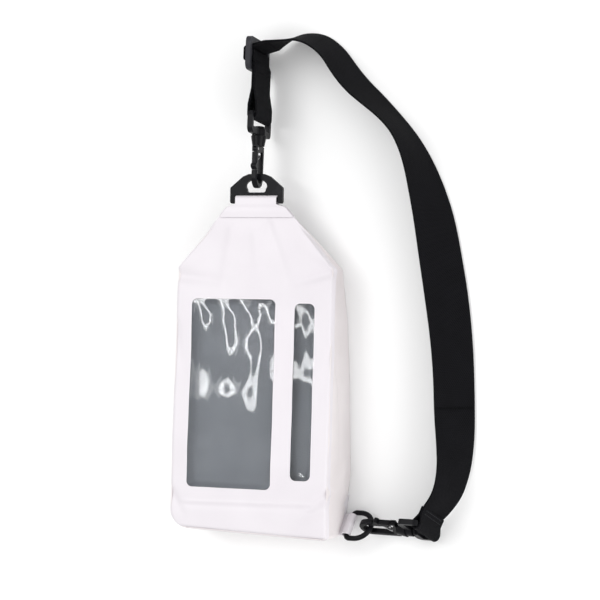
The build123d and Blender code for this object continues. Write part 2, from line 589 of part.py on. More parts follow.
def strap_stations():
    """Where the long run of the strap goes, from the slider to the lower hook."""
    up = Vector(0, 0, 1)
    start = UPPER.from_local_coords((EXIT[0], EXIT[1], 0))
    centre, away, across, tip = strap_end_path()
    end = LOWER_BASE.from_local_coords((tip.X, tip.Y, 0))
    points = [start]
    for x, y, lean, lift in ROUTE:
        share = (y - ROUTE_END[1]) / (ROUTE_START[1] - ROUTE_END[1])
        share = min(max(share, 0), 1)
        x += share * (start.X - ROUTE_START[0]) + (1 - share) * (end.X - ROUTE_END[0])
        y += share * (start.Y - ROUTE_START[1]) + (1 - share) * (end.Y - ROUTE_END[1])
        points.append(Vector(x, y, WEB_WIDTH / 2 * cos(radians(lean)) + WEB_THICK + lift))
    points.append(end)
    stations = []
    for i in range(1, len(points) - 1):
        travel = (points[i + 1] - points[i - 1]).normalized()
        outward = up.cross(travel).normalized()
        lean = radians(ROUTE[i - 1][2])
        width = up * cos(lean) - outward * sin(lean)
        width = width - travel * width.dot(travel)
        stations.append((points[i], width, travel))
    first = (UPPER.x_dir * EXIT_TRAVEL[0] + UPPER.y_dir * EXIT_TRAVEL[1]).normalized()
    last = (LOWER_BASE.x_dir * -away.X + LOWER_BASE.y_dir * -away.Y).normalized()
    stations.insert(0, (start, UPPER.z_dir, first))
    stations.append((end, LOWER_BASE.z_dir, last))
    return stations


def print_route(stations):
    """Prints the strap's length and the radius that each corner of its route allows."""
    points = [s[0] for s in stations]
    runs = [(b - a).length for a, b in zip(points, points[1:])]
    radii = []
    for i in range(1, len(points) - 1):
        turn = (points[i] - points[i - 1]).get_angle(points[i + 1] - points[i])
        radii.append(0.45 * min(runs[i - 1], runs[i]) / tan(radians(turn) / 2))
    print("strap run", round(sum(runs), 1), "mm; corner radii", [round(r) for r in radii])


# ================================================================ zip on the back gable
def zip_tape():
    length, width, thick = ZIP_TAPE
    tape = Pos(0, 0, thick / 2) * Box(length, width, thick)
    return zip_plane() * (tape - Box(ZIP_LENGTH, 0.6, 4 * thick))


def zip_teeth():
    """Two rows of teeth, meshed: each tooth is set off to its own side of the middle."""
    length, width, height = ZIP_TOOTH
    count = int((ZIP_LENGTH - ZIP_STOP[0]) // ZIP_PITCH)
    teeth = []
    for i in range(count):
        x = (i - (count - 1) / 2) * ZIP_PITCH
        side = 1 if i % 2 else -1
        teeth.append(Pos(x, side * 0.4, ZIP_TAPE[2] + height / 2) * Box(length, width, height))
    return zip_plane() * Compound(children=teeth)


def zip_stops():
    length, width, height = ZIP_STOP
    z = ZIP_TAPE[2] + height / 2
    blocks = [Pos(side * (ZIP_LENGTH + length / 2) / 2, 0, z)
              * fillet(Box(length, width, height).edges().filter_by(Axis.Z), 1.5)
              for side in (-1, 1)]
    return zip_plane() * Compound(children=blocks)


def zip_rest():
    """Where the slider waits: beside the left stop, at the closed end, its pull to the left."""
    x = -(ZIP_LENGTH - ZIP_STOP[0]) / 2 + ZIP_SLIDER[0] / 2 + 1
    return Pos(x, 0, 0) * Rot(0, 0, 180)


def pull_pin_z():
    return ZIP_TAPE[2] + ZIP_PLAY + ZIP_SLIDER[2] + PULL_PIN_R + PULL_RISE


def zip_slider():
    length, width, height = ZIP_SLIDER
    foot = ZIP_TAPE[2] + ZIP_PLAY
    body = fillet(Box(length, width, height).edges().filter_by(Axis.Z), 1.5)
    body = Pos(0, 0, foot + height / 2) * body
    tunnel = ZIP_TOOTH[1] + 0.8 + 2 * ZIP_PLAY
    tooth_top = ZIP_TOOTH[2] + 2 * ZIP_PLAY
    body -= Pos(0, 0, foot + tooth_top / 2 - 0.5) * Box(2 * length, tunnel, tooth_top + 1 - ZIP_PLAY)
    lug_height = pull_pin_z() + 2 * PULL_PIN_R - foot - height + 0.5
    lug = Pos(0, 0, foot + height - 0.5 + lug_height / 2) * Box(4.4, 2.2, lug_height)
    bore = Pos(0, 0, pull_pin_z()) * Rot(90, 0, 0) * Cylinder(PULL_PIN_R + 0.1, 2 * width)
    return zip_plane() * (zip_rest() * (body + lug - bore))


def zip_pull():
    """A flat pull whose fork carries the pin that turns in the slider's lug."""
    length, width, thick = PULL
    plate = RectangleRounded(length, width, 2.5)
    plate = Pos(length / 2 - 1.5, 0) * plate - Pos(1.6, 0) * Rectangle(6.4, 3.0)
    tab = extrude(plate, thick / 2, both=True)
    pin = Rot(90, 0, 0) * Cylinder(PULL_PIN_R, 4.0)
    return zip_plane() * (zip_rest() * (Pos(0, 0, pull_pin_z()) * (tab + pin)))


# ================================================================ the whole model
def build_all():
    stations = strap_stations()
    print_route(stations)
    centre, away, across, tip = strap_end_path()
    end_rows = Pos(centre.X, centre.Y, 0) * Rot(0, 0, degrees(LEG_TURN)) * stitches(
        [LEG_LENGTH - LEG_SEWN + 2, LEG_LENGTH - 2], WEB_WIDTH - 6, LAYER + WEB_THICK / 2)
    return {
        "front_panel": front_panel(),
        "back_panel": back_panel(),
        "left_gusset": gusset(-1),
        "right_gusset": gusset(1),
        "bottom_gusset": bottom_gusset(),
        "main_window": window_film(main_prism),
        "side_window": window_film(side_prism),
        "pocket_wall": pocket_wall(),
        "top_fold": top_fold(),
        "tab_patch": tab_patch(),
        "side_tab": side_tab(),
        "hang_loop": hang_loop(),
        "strap_ring": strap_ring(),
        "zip_tape": zip_tape(),
        "zip_teeth": zip_teeth(),
        "zip_stops": zip_stops(),
        "zip_slider": zip_slider(),
        "zip_pull": zip_pull(),
        "strap_webbing": ribbon(stations),
        "strap_slider": place(UPPER, slider_frame()),
        "slider_webbing": place(UPPER, slider_webbing()),
        "adjuster_webbing": place(UPPER, adjuster_webbing()),
        "upper_base": place(UPPER, hook_base()),
        "upper_hook": place(UPPER, hook_body()),
        "upper_gate": place(UPPER, hook_gate()),
        "upper_gate_pin": place(UPPER, gate_pin()),
        "upper_gate_spring": place(UPPER, gate_spring()),
        "lower_base": place(LOWER_BASE, hook_base()),
        "lower_hook": place(LOWER, hook_body()),
        "lower_gate": place(LOWER, hook_gate()),
        "lower_gate_pin": place(LOWER, gate_pin()),
        "lower_gate_spring": place(LOWER, gate_spring()),
        "strap_end_webbing": place(LOWER_BASE, strap_end_webbing()),
        "strap_end_stitching": place(LOWER_BASE, end_rows),
    }


os.makedirs("parts", exist_ok=True)
for node, shape in build_all().items():
    export_step(shape, f"parts/{node}.step")
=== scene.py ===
"""The looks of a white sling dry bag with a clear pocket front and a black webbing strap."""
import json
from math import cos, hypot, pi, radians, sin, sqrt

import bmesh
import bpy
from mathutils import Matrix, Vector, noise


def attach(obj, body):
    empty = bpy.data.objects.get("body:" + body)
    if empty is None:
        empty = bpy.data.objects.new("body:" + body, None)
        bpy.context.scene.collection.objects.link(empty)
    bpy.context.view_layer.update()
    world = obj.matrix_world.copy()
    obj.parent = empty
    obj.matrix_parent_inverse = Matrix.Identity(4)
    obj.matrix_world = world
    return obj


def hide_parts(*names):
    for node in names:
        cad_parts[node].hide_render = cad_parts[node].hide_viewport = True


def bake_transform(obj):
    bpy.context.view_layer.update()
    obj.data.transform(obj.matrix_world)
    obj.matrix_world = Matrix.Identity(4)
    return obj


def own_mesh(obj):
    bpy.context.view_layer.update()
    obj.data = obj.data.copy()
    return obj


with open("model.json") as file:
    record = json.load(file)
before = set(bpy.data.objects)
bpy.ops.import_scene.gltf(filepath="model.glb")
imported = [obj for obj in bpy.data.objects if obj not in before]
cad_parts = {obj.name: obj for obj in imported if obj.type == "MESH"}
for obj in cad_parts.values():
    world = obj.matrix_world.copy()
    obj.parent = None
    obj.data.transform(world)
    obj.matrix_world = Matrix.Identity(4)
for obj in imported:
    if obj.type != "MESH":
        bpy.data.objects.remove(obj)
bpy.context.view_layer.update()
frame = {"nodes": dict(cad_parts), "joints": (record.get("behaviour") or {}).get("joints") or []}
nodes = frame["nodes"]

# ---------------------------------------------------------------- camera
# Stands to the right of the bag, a little above it, and looks down on the front panel.
AZIMUTH, ELEVATION, ROLL = radians(19.2), radians(2.5), radians(0.75)
BAG_MIDDLE, DISTANCE = Vector((0, 0, 0.025)), 1.81
away = Vector((sin(AZIMUTH) * cos(ELEVATION), sin(ELEVATION), cos(AZIMUTH) * cos(ELEVATION)))
sideways = Vector((cos(AZIMUTH), 0, -sin(AZIMUTH)))
upwards = away.cross(sideways)
eye = BAG_MIDDLE + away * DISTANCE
target = BAG_MIDDLE + sideways * 0.0333 + upwards * 0.0801
back = (eye - target).normalized()
right = (upwards * cos(ROLL) - sideways * sin(ROLL)).cross(back).normalized()
camera = bpy.data.objects.new("camera", bpy.data.cameras.new("camera"))
bpy.context.scene.collection.objects.link(camera)
camera.data.lens = 134.4
camera.data.clip_end = 20
camera.matrix_world = Matrix.Translation(eye) @ Matrix(
    (right, back.cross(right), back)).transposed().to_4x4()
bpy.context.scene.camera = camera


# ---------------------------------------------------------------- strap: its long run
# Black 38 mm polypropylene webbing, woven with a fine basket pattern. It stands on its lower
# edge, from the slider at the top, round the right of the bag, to the lower hook.

UV, OBJECT = 2, 3                       # outputs of Texture Coordinate


class Value:
    """A socket of a material's nodes. Sums on it add Math nodes."""

    def __init__(self, tree, socket=None):
        self.tree, self.socket = tree, socket

    def node(self, kind, settings=None, output=0, **inputs):
        """Adds a node, sets it up, then links or sets its sockets; gives one of its outputs."""
        made = self.tree.nodes.new(kind)
        for name, value in (settings or {}).items():
            setattr(made, name, value)
        for name, value in inputs.items():
            key = int(name[1:]) if name[1:].isdigit() else name.replace("_", " ")
            if isinstance(value, Value):
                self.tree.links.new(value.socket, made.inputs[key])
            else:
                made.inputs[key].default_value = value
        return Value(self.tree, made.outputs[output])

    def math(self, operation, first, second=0.0):
        return self.node("ShaderNodeMath", {"operation": operation}, i0=first, i1=second)

    def __add__(self, other):
        return self.math("ADD", self, other)

    def __sub__(self, other):
        return self.math("SUBTRACT", self, other)

    def __mul__(self, other):
        return self.math("MULTIPLY", self, other)

    def __rsub__(self, other):
        return self.math("SUBTRACT", other, self)

    __radd__ = __add__
    __rmul__ = __mul__

    def sine(self):
        return self.math("SINE", self)

    def size(self):
        return self.math("ABSOLUTE", self)

    def above(self, limit, width):
        """0 below the limit, 1 above it, soft over the width."""
        return self.node("ShaderNodeMapRange", {"interpolation_type": "SMOOTHSTEP"},
                         Value=self, From_Min=limit - width, From_Max=limit + width)

    def blend(self, low, high):
        """A colour that goes from low to high as this value goes from 0 to 1."""
        return self.node("ShaderNodeMix", {"data_type": "RGBA"}, 2, i0=self,
                         i6=(*low, 1), i7=(*high, 1))

    def coordinates(self, source):
        """An output of Texture Coordinate: OBJECT or UV."""
        return self.node("ShaderNodeTexCoord", output=source)

    def noise(self, scale, detail=3.0):
        return self.node("ShaderNodeTexNoise", Vector=self.coordinates(OBJECT), Scale=scale,
                         Detail=detail)

    def place(self, source):
        """The three coordinates of the surface."""
        return [self.node("ShaderNodeSeparateXYZ", output=axis, i0=self.coordinates(source))
                for axis in range(3)]


def surface(name, paint, **constants):
    """A material. paint(value) gives what varies over it; constants are set on the shader."""
    material = bpy.data.materials.new(name)
    material.use_nodes = True
    tree = material.node_tree
    shader = tree.nodes["Principled BSDF"]
    for socket, value in constants.items():
        shader.inputs[socket.replace("_", " ")].default_value = value
    for socket, value in paint(Value(tree)).items():
        tree.links.new(value.socket, shader.inputs[socket.replace("_", " ")])
    return material


def webbing(along, across, value):
    """Basket weave: ribs that run along the strap, crossed by picks."""
    rib_pitch, pick_pitch = 0.0019, 0.0028
    rib = (across * (2 * pi / rib_pitch)).sine()
    pick = (along * (2 * pi / pick_pitch)).sine()
    weave = rib * pick
    wear = value.noise(60.0, 4.0)
    fibre = value.noise(2600.0, 2.0)
    tone = weave * 0.16 + wear * 0.5 + fibre * 0.34
    return {
        "Base_Color": tone.blend((0.0012, 0.0012, 0.0017), (0.0085, 0.0085, 0.0105)),
        "Roughness": 0.78 - weave * 0.06 + wear * 0.1,
        "Normal": value.node("ShaderNodeBump", Strength=0.55, Distance=0.0004,
                             Height=weave + fibre * 0.5),
    }


def strap_paint(value):
    along, across, _ = value.place(UV)
    return webbing(along, across, value)


strap_material = surface("strap_webbing_mat", strap_paint, Specular_IOR_Level=0.07)

WEB_WIDTH, WEB_THICK = 0.038, 0.0015
ACROSS = 16                             # faces across the webbing
OVERLAPPED = 2                          # rows by which the lead and the tail lie over the run
# where the run meets the slider and the lower hook's webbing: place, direction of its width
SLIDER_END = (Vector((0.0082, 0.28497, 0.02482)), Vector((0, 0.0785, 0.9969)))
HOOK_END = (Vector((0.14651, -0.08654, 0.02054)), Vector((-0.1781, 0.3584, 0.9164)))
# x, y, lean towards the inside of the loop in degrees, height of the lower edge
ROUTE = (
    (0.0180, 0.2884, 8, 0.0036), (0.0310, 0.2919, 15, 0.0028), (0.0455, 0.2891, 19, 0.0018),
    (0.0583, 0.2790, 18, 0.0008), (0.0679, 0.2647, 20, 0.0003), (0.0789, 0.2515, 21, 0),
    (0.0916, 0.2403, 18, 0), (0.1037, 0.2295, 14, 0), (0.1147, 0.2179, 13, 0),
    (0.1236, 0.2043, 17, 0), (0.1308, 0.1882, 24, 0), (0.1368, 0.1678, 34, 0),
    (0.1429, 0.1438, 43, 0), (0.1482, 0.1148, 48, 0), (0.1534, 0.0835, 49, 0),
    (0.1578, 0.0515, 46, 0), (0.1606, 0.0207, 43, 0), (0.1614, -0.0075, 43, 0),
    (0.1628, -0.0317, 36, 0.0003), (0.1622, -0.0541, 29, 0.0008), (0.1564, -0.0760, 25, 0.0014),
)
middles = [Vector((x, y, WEB_WIDTH / 2 * cos(radians(lean)) + WEB_THICK + lift))
           for x, y, lean, lift in ROUTE]
middles = [SLIDER_END[0], *middles, HOOK_END[0]]
widths = []
for before, after, (_, _, lean, _) in zip(middles, middles[2:], ROUTE):
    travel = (after - before).normalized()
    outward = Vector((0, 0, 1)).cross(travel).normalized()
    width = Vector((0, 0, cos(radians(lean)))) - outward * sin(radians(lean))
    widths.append((width - travel * width.dot(travel)).normalized())
widths = [SLIDER_END[1], *widths, HOOK_END[1]]


def rail(points):
    """The points that Blender gives along a smooth spline with these control points."""
    curve = bpy.data.curves.new("rail", "CURVE")
    curve.dimensions = "3D"
    curve.resolution_u = 14
    spline = curve.splines.new("NURBS")
    spline.points.add(len(points) - 1)
    for point, place in zip(spline.points, points):
        point.co = (*place, 1)
    spline.order_u = 3
    spline.use_endpoint_u = True
    holder = bpy.data.objects.new("rail", curve)
    mesh = bpy.data.meshes.new_from_object(holder)
    line = [v.co.copy() for v in mesh.vertices]
    bpy.data.objects.remove(holder)
    bpy.data.meshes.remove(mesh)
    return line


def finished(name, mesh, material, smooth_angle=40):
    """An object of this mesh, with smooth shading up to an angle."""
    obj = bpy.data.objects.new(name, mesh)
    bpy.context.scene.collection.objects.link(obj)
    mesh.materials.clear()
    mesh.materials.append(material)
    mesh.shade_smooth()
    mesh.set_sharp_from_angle(angle=radians(smooth_angle))
    return obj


def settle(obj):
    """Applies an object's modifiers to its mesh."""
    graph = bpy.context.evaluated_depsgraph_get()
    mesh = bpy.data.meshes.new_from_object(obj.evaluated_get(graph))
    obj.modifiers.clear()
    obj.data = mesh
    return obj


low_rail = rail([m - w * WEB_WIDTH / 2 for m, w in zip(middles, widths)])
high_rail = rail([m + w * WEB_WIDTH / 2 for m, w in zip(middles, widths)])
line = [(a + b) / 2 for a, b in zip(low_rail, high_rail)]
spans = [(b - a).normalized() for a, b in zip(low_rail, high_rail)]
measure = [0.0]
for a, b in zip(line, line[1:]):
    measure.append(measure[-1] + (b - a).length)


def strap_piece(name, first, last):
    """One stretch of the webbing, a little wavy, with its edges rounded."""
    rows = range(first, last + 1)
    form = bmesh.new()
    bmesh.ops.create_grid(form, x_segments=len(rows) - 1, y_segments=ACROSS, size=0.5)
    uv = form.loops.layers.uv.new("weave")
    for vert in form.verts:
        i = rows[round((vert.co.x + 0.5) * (len(rows) - 1))]
        across = vert.co.y
        ahead = line[min(i + 1, len(line) - 1)] - line[max(i - 1, 0)]
        face = spans[i].cross(ahead).normalized()
        ripple = noise.noise(Vector((measure[i] * 22, across * 1.6, 4.0))) * 0.0007
        vert.co = line[i] + spans[i] * across * WEB_WIDTH + face * ripple
        for loop in vert.link_loops:
            loop[uv].uv = (measure[i], across * WEB_WIDTH)
    mesh = bpy.data.meshes.new(name)
    form.to_mesh(mesh)
    form.free()
    obj = finished(name, mesh, strap_material, 50)
    thick = obj.modifiers.new("thickness", "SOLIDIFY")
    thick.thickness, thick.offset = WEB_THICK, 0
    edge = obj.modifiers.new("edge", "BEVEL")
    edge.width, edge.segments, edge.limit_method = 0.0005, 3, "ANGLE"
    edge.angle_limit = radians(50)
    return settle(obj)


lead_end = next(i for i, p in enumerate(line) if p.x > 0.045)
tail_start = next(i for i, p in enumerate(line) if p.y < -0.005)
lead = strap_piece("strap_lead", 0, lead_end + OVERLAPPED)
run = strap_piece("strap_run", lead_end, tail_start)
tail = strap_piece("strap_tail", tail_start - OVERLAPPED, len(line) - 1)
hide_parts("strap_webbing")
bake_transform(lead)
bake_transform(run)
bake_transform(tail)
tuple(line[lead_end])
[tuple(p) for p in line[lead_end:tail_start + 1]]


# ---------------------------------------------------------------- webbing at the fittings
# The same webbing where it is folded: doubled from the slider to the upper hook's base, woven
# through the slider's bars, and sewn round the lower hook's base with two rows of black thread.
def node_copy(node, name, material, bevel=0.0003, segments=2, angle=35, smooth_angle=40):
    """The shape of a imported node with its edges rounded, as a piece of its own."""
    form = bmesh.new()
    form.from_mesh(nodes[node].data)
    bmesh.ops.remove_doubles(form, verts=form.verts, dist=2e-6)
    bmesh.ops.dissolve_limit(form, angle_limit=radians(1.0), verts=form.verts, edges=form.edges)
    mesh = bpy.data.meshes.new(name)
    form.to_mesh(mesh)
    form.free()
    obj = finished(name, mesh, material, smooth_angle)
    if bevel:
        edge = obj.modifiers.new("edge", "BEVEL")
        edge.width, edge.segments, edge.limit_method = bevel, segments, "ANGLE"
        edge.angle_limit = radians(angle)
        settle(obj)
    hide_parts(node)
    return obj


def fold_paint(value):
    x, y, z = value.place(OBJECT)
    return webbing(y + x * 0.6, z + x * 0.15, value)


fold_material = surface("folded_webbing_mat", fold_paint, Specular_IOR_Level=0.07)
doubled = node_copy("adjuster_webbing", "doubled_webbing", fold_material, 0.0004)
threaded = node_copy("slider_webbing", "threaded_webbing", fold_material, 0.0004)
sewn_end = node_copy("strap_end_webbing", "sewn_strap_end", fold_material, 0.0004)
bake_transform(doubled)
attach(threaded, "slider")
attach(sewn_end, "lower_strap")


def thread_paint(value):
    twist = (value.place(OBJECT)[2] * (2 * pi / 0.0006)).sine()
    return {"Base_Color": twist.size().blend((0.006, 0.006, 0.008), (0.03, 0.03, 0.034)),
            "Normal": value.node("ShaderNodeBump", Strength=0.4, Distance=0.0002, Height=twist)}


thread_material = surface("thread_mat", thread_paint, Roughness=0.7, Specular_IOR_Level=0.1)
nodes["strap_end_stitching"].data.materials.clear()
nodes["strap_end_stitching"].data.materials.append(thread_material)


# ---------------------------------------------------------------- moulded plastic
# Hang loop, strap ring, slider, hook bases, hooks and gates: injection moulded black acetal and
# nylon, with rounded edges, a fine spark-eroded grain and a little rubbing on the high spots.
def plastic(name, dark, light, rough, grain):
    def paint(value):
        speckle = value.noise(grain, 3.0)
        rubbed = value.noise(90.0, 4.0).above(0.62, 0.08)
        return {
            "Base_Color": (speckle * 0.6 + rubbed * 0.4).blend(dark, light),
            "Roughness": rough + speckle * 0.1 - rubbed * 0.06,
            "Normal": value.node("ShaderNodeBump", Strength=0.22, Distance=0.0001,
                                 Height=speckle),
        }
    return surface(name, paint, Specular_IOR_Level=0.11)


frame_plastic = plastic("frame_plastic_mat", (0.002, 0.002, 0.003), (0.011, 0.011, 0.013),
                        0.34, 3200.0)
slider_plastic = plastic("slider_plastic_mat", (0.022, 0.022, 0.026), (0.05, 0.05, 0.058),
                         0.42, 3200.0)
hook_plastic = plastic("hook_plastic_mat", (0.0015, 0.0015, 0.0022), (0.009, 0.009, 0.011),
                       0.26, 2400.0)
MOULDED = (
    ("hang_loop", "hang_loop_moulding", frame_plastic, "loop", "black_plastic", 0.0006),
    ("strap_ring", "strap_ring_moulding", frame_plastic, "ring", "black_plastic", 0),
    ("strap_slider", "slider_moulding", slider_plastic, "slider", "black_plastic", 0.0007),
    ("upper_base", "upper_base_moulding", frame_plastic, "upper_strap", "black_plastic", 0.0006),
    ("lower_base", "lower_base_moulding", frame_plastic, "lower_strap", "black_plastic", 0.0006),
    ("upper_hook", "upper_hook_moulding", hook_plastic, "upper_clip", "black_nylon", 0.0006),
    ("lower_hook", "lower_hook_moulding", hook_plastic, "lower_clip", "black_nylon", 0.0006),
    ("upper_gate", "upper_gate_moulding", hook_plastic, "upper_lever", "black_nylon", 0.0004),
    ("lower_gate", "lower_gate_moulding", hook_plastic, "lower_lever", "black_nylon", 0.0004),
)
for node, name, material, body, slot, bevel in MOULDED:
    piece = node_copy(node, name, material, bevel, 3, 35, 45)
    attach(piece, body)


# ---------------------------------------------------------------- gate pins and springs
# Polished steel pins in the hooks' heads, and leaf springs that push the gates shut.
def steel_paint(value):
    brushed = value.noise(900.0, 2.0)
    return {"Base_Color": brushed.blend((0.42, 0.42, 0.43), (0.66, 0.66, 0.67)),
            "Roughness": 0.2 + brushed * 0.2}


steel = surface("pin_steel_mat", steel_paint, Metallic=1.0)
for node in ("upper_gate_pin", "lower_gate_pin"):
    nodes[node].data.materials.clear()
    nodes[node].data.materials.append(steel)
# a point of each hook's spine
for end, spine in (("upper", (0, 0.199, 0.0288)), ("lower", (0.1126, -0.1028, 0.0166))):
    leaf = node_copy(end + "_gate_spring", end + "_leaf_spring", steel, 0.0001)
    hinge = next(j for j in frame["joints"] if j["name"] == end + "_gate_press")
    along = Vector(next(j for j in frame["joints"] if j["name"] == end + "_swivel")["axis"])
    towards = Vector(hinge["axis"]).cross(along)
    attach(leaf, end + "_clip")
    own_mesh(leaf)


# ---------------------------------------------------------------- bag: sides, back and bottom
# White coated polyester fabric, welded. The side walls are pleated inwards near the top; the
# lower left corner is round. The back panel is welded to the walls and rises to the gable.
# y, front level, back level, half width of the front, of the pleat's fold and of the back
SECTIONS = (
    (-0.107, 0.0460, 0.0000, 0.0670, 0.0670, 0.0670),
    (-0.093, 0.0460, 0.0000, 0.0670, 0.0676, 0.0677),
    (-0.060, 0.0446, 0.0000, 0.0670, 0.0720, 0.0724),
    (0.000, 0.0415, 0.0000, 0.0670, 0.0690, 0.0712),
    (0.060, 0.0385, 0.0000, 0.0670, 0.0640, 0.0688),
    (0.085, 0.0367, 0.0000, 0.0670, 0.0565, 0.0662),
    (0.105, 0.0350, 0.0000, 0.0668, 0.0495, 0.0640),
    (0.120, 0.0347, 0.0116, 0.0542, 0.0400, 0.0530),
    (0.143, 0.0342, 0.0293, 0.0343, 0.0260, 0.0343),
    (0.147, 0.0340, 0.0324, 0.0307, 0.0300, 0.0307),
    (0.154, 0.0340, 0.0324, 0.0245, 0.0245, 0.0245),
)
BOTTOM, SHOULDER, WELD, TOP = -0.107, 0.105, 0.147, 0.154
WALL, ROUND_LEFT, ROUND_RIGHT, WIDEST = 0.0008, 0.014, 0.004, 0.0738


def ease(value, low, high):
    """0 at low, 1 at high, smooth between."""
    t = min(max((value - low) / (high - low), 0), 1)
    return t * t * (3 - 2 * t)


def section(y):
    """The bag's levels and half widths at this height."""
    y = min(max(y, BOTTOM), TOP)
    low, high = next(pair for pair in zip(SECTIONS, SECTIONS[1:]) if y <= pair[1][0])
    share = (y - low[0]) / (high[0] - low[0])
    return [a + (b - a) * share for a, b in zip(low[1:], high[1:])]


def corner(y, side):
    """How far a round lower corner takes the edge in, at this height."""
    radius = ROUND_LEFT if side < 0 else ROUND_RIGHT
    rise = min(max(y - BOTTOM, 0), radius)
    return radius - sqrt(radius ** 2 - (radius - rise) ** 2)


def creases(x, y, scale, depth, seed):
    """Soft dents of packed fabric."""
    where = Vector((x * scale, y * scale, seed))
    return depth * (noise.noise(where) + 0.5 * noise.noise(where * 2.3))


def slump(x, y, z):
    """The bottom of the bag hangs a little lower on the right."""
    return Vector((x, y - 0.0030 * (1 - ease(y, BOTTOM, -0.06)) * x / 0.067, z))


def side_wall(side, down, y):
    """A point of a side wall, from its front edge at down = 0 to its back edge at down = 1."""
    front, rear, half, fold, rear_half = section(y)
    front -= WALL * 1.3                 # the front panel's edge is turned down over the wall
    half -= 0.0012
    z = front + (rear - front) * down
    if down < 0.5:
        x = half + (fold - half) * (down * 2) ** 1.2
    else:
        x = rear_half + (fold - rear_half) * ((1 - down) * 2) ** 1.2
    round_over = (1 - (1 - min((1 - down) / 0.06, 1)) ** 2) ** 0.5
    x -= 0.0016 * (1 - round_over)
    slack = sin(pi * down) * (1 - ease(y, 0.125, WELD))
    x += slack * (0.0012 * (1 - ease(y, 0.0, 0.08)) + creases(z, y, 30, 0.0034, 7.0 * side)
                  - 0.0016 * fold_line(down, 0.42, 0.06) * ease(y, -0.09, 0.06))
    x = min(x, WIDEST)
    return slump(side * (x - corner(y, side)), y, z)


def fold_line(value, middle, spread):
    """A soft ridge, 1 on the middle and fading over the spread."""
    return 2.718 ** (-((value - middle) / spread) ** 2)


def grid(name, columns, rows, place):
    """A sheet of cloth: place(u, v) puts each of its points, u and v from 0 to 1."""
    form = bmesh.new()
    bmesh.ops.create_grid(form, x_segments=columns, y_segments=rows, size=0.5)
    uv = form.loops.layers.uv.new("cloth")
    for vert in form.verts:
        u, v = vert.co.x + 0.5, vert.co.y + 0.5
        for loop in vert.link_loops:
            loop[uv].uv = (u, v)
        vert.co = place(u, v)
    return form


def cloth(name, form, material, outside, thick=WALL, smooth_angle=60):
    """Gives a sheet its wall, to the inside. outside is a direction out of the bag."""
    bmesh.ops.remove_doubles(form, verts=form.verts, dist=1e-6)
    bmesh.ops.recalc_face_normals(form, faces=form.faces)
    form.faces.ensure_lookup_table()
    total = Vector()
    for face in form.faces:
        total += face.normal * face.calc_area()
    if total.dot(Vector(outside)) < 0:
        bmesh.ops.reverse_faces(form, faces=form.faces)
    mesh = bpy.data.meshes.new(name)
    form.to_mesh(mesh)
    form.free()
    obj = finished(name, mesh, material, smooth_angle)
    wall = obj.modifiers.new("wall", "SOLIDIFY")
    wall.thickness, wall.offset, wall.use_even_offset = thick, -1, True
    return settle(obj)


def pvc(name, low, high, dirt, grain_depth):
    """Coated fabric: a faint weave shows through a satin coat, with a few dull patches."""
    def paint(value):
        x, y, z = value.place(OBJECT)
        threads = ((x + z) * (2 * pi / 0.0012)).sine() * ((y + z) * (2 * pi / 0.0012)).sine()
        cloud = value.noise(24.0, 4.0)
        fine = value.noise(700.0, 3.0)
        smudge = value.noise(9.0, 5.0).above(0.62, 0.12)
        tone = cloud * 0.6 + fine * 0.15 + (1 - smudge) * 0.25
        return {
            "Base_Color": tone.blend(low, high),
            "Roughness": 0.40 + fine * 0.12 + smudge * dirt,
            "Normal": value.node("ShaderNodeBump", Strength=grain_depth, Distance=0.0004,
                                 Height=threads * 0.12 + fine * 0.35 + cloud * 1.6),
        }
    return surface(name, paint, Specular_IOR_Level=0.45)


# A lighter, pinker copy of the white fabric for the side walls, back and bottom: painted light
# that brightens the side walls out of the key light, and painted shade in their pink cast.
gusset_pvc = pvc("wall_pvc_painted_light_and_shade_mat", (0.67, 0.62, 0.625), (0.77, 0.73, 0.735), 0.1, 0.35)
BACK_COLUMNS, SIDE_COLUMNS, ROWS = 60, 26, 170


def height_of(v):
    """Heights of a sheet's rows, closer together in the round lower corners."""
    return BOTTOM + (WELD + 0.0006 - BOTTOM) * v ** 1.35


def back_point(u, v):
    y = height_of(v)
    over = u * 2 - 1
    rear = side_wall(-1 if over < 0 else 1, 1.0, y)
    z = rear.z
    if y < SHOULDER - 0.008:
        z += 0.0009 * (1 - over ** 6) * (1 + creases(rear.x * over, y, 26, 0.8, 3.0))
    return slump(abs(rear.x) * over, y, z)


back_wall = cloth("back_panel_shell", grid("back", BACK_COLUMNS, ROWS, back_point), gusset_pvc,
                  (0, 0, -1))
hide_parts("back_panel")
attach(back_wall, "bag")
for name, side in (("left", -1), ("right", 1)):
    wall = cloth(name + "_gusset_wall", grid(name, SIDE_COLUMNS, ROWS, lambda u, v, side=side:
                 side_wall(side, u, height_of(v))), gusset_pvc, (side, 0, 0))
    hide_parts(name + "_gusset")
    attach(wall, "bag")


def bottom_point(u, v):
    left, right = side_wall(-1, v, BOTTOM), side_wall(1, v, BOTTOM)
    point = left.lerp(right, u)
    sag = sin(pi * u) * sin(pi * v)
    return point - Vector((0, sag * (0.0012 + creases(point.x, point.z, 40, 0.0012, 5.0)), 0))


bottom_wall = cloth("bottom_wall", grid("bottom", 50, 24, bottom_point), gusset_pvc, (0, -1, 0))
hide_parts("bottom_gusset")
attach(bottom_wall, "bag")


# ---------------------------------------------------------------- bag: front panel
# One sheet of white coated fabric with two round-cornered windows, narrowing in a gable to the
# hang loop. Its edges are turned down and welded to the sides; a weld runs below the windows.
white_pvc = pvc("white_pvc_mat", (0.64, 0.605, 0.64), (0.72, 0.69, 0.72), 0.08, 0.3)
WINDOWS = (("main", -0.053, 0.019, -0.072, 0.0805), ("side", 0.0345, 0.052, -0.0640, 0.0775))
WINDOW_CORNER = 0.005
LIP, TURNED_DOWN = BOTTOM - 0.0006, 0.0042      # the panel's lower edge, and the depth of its hem
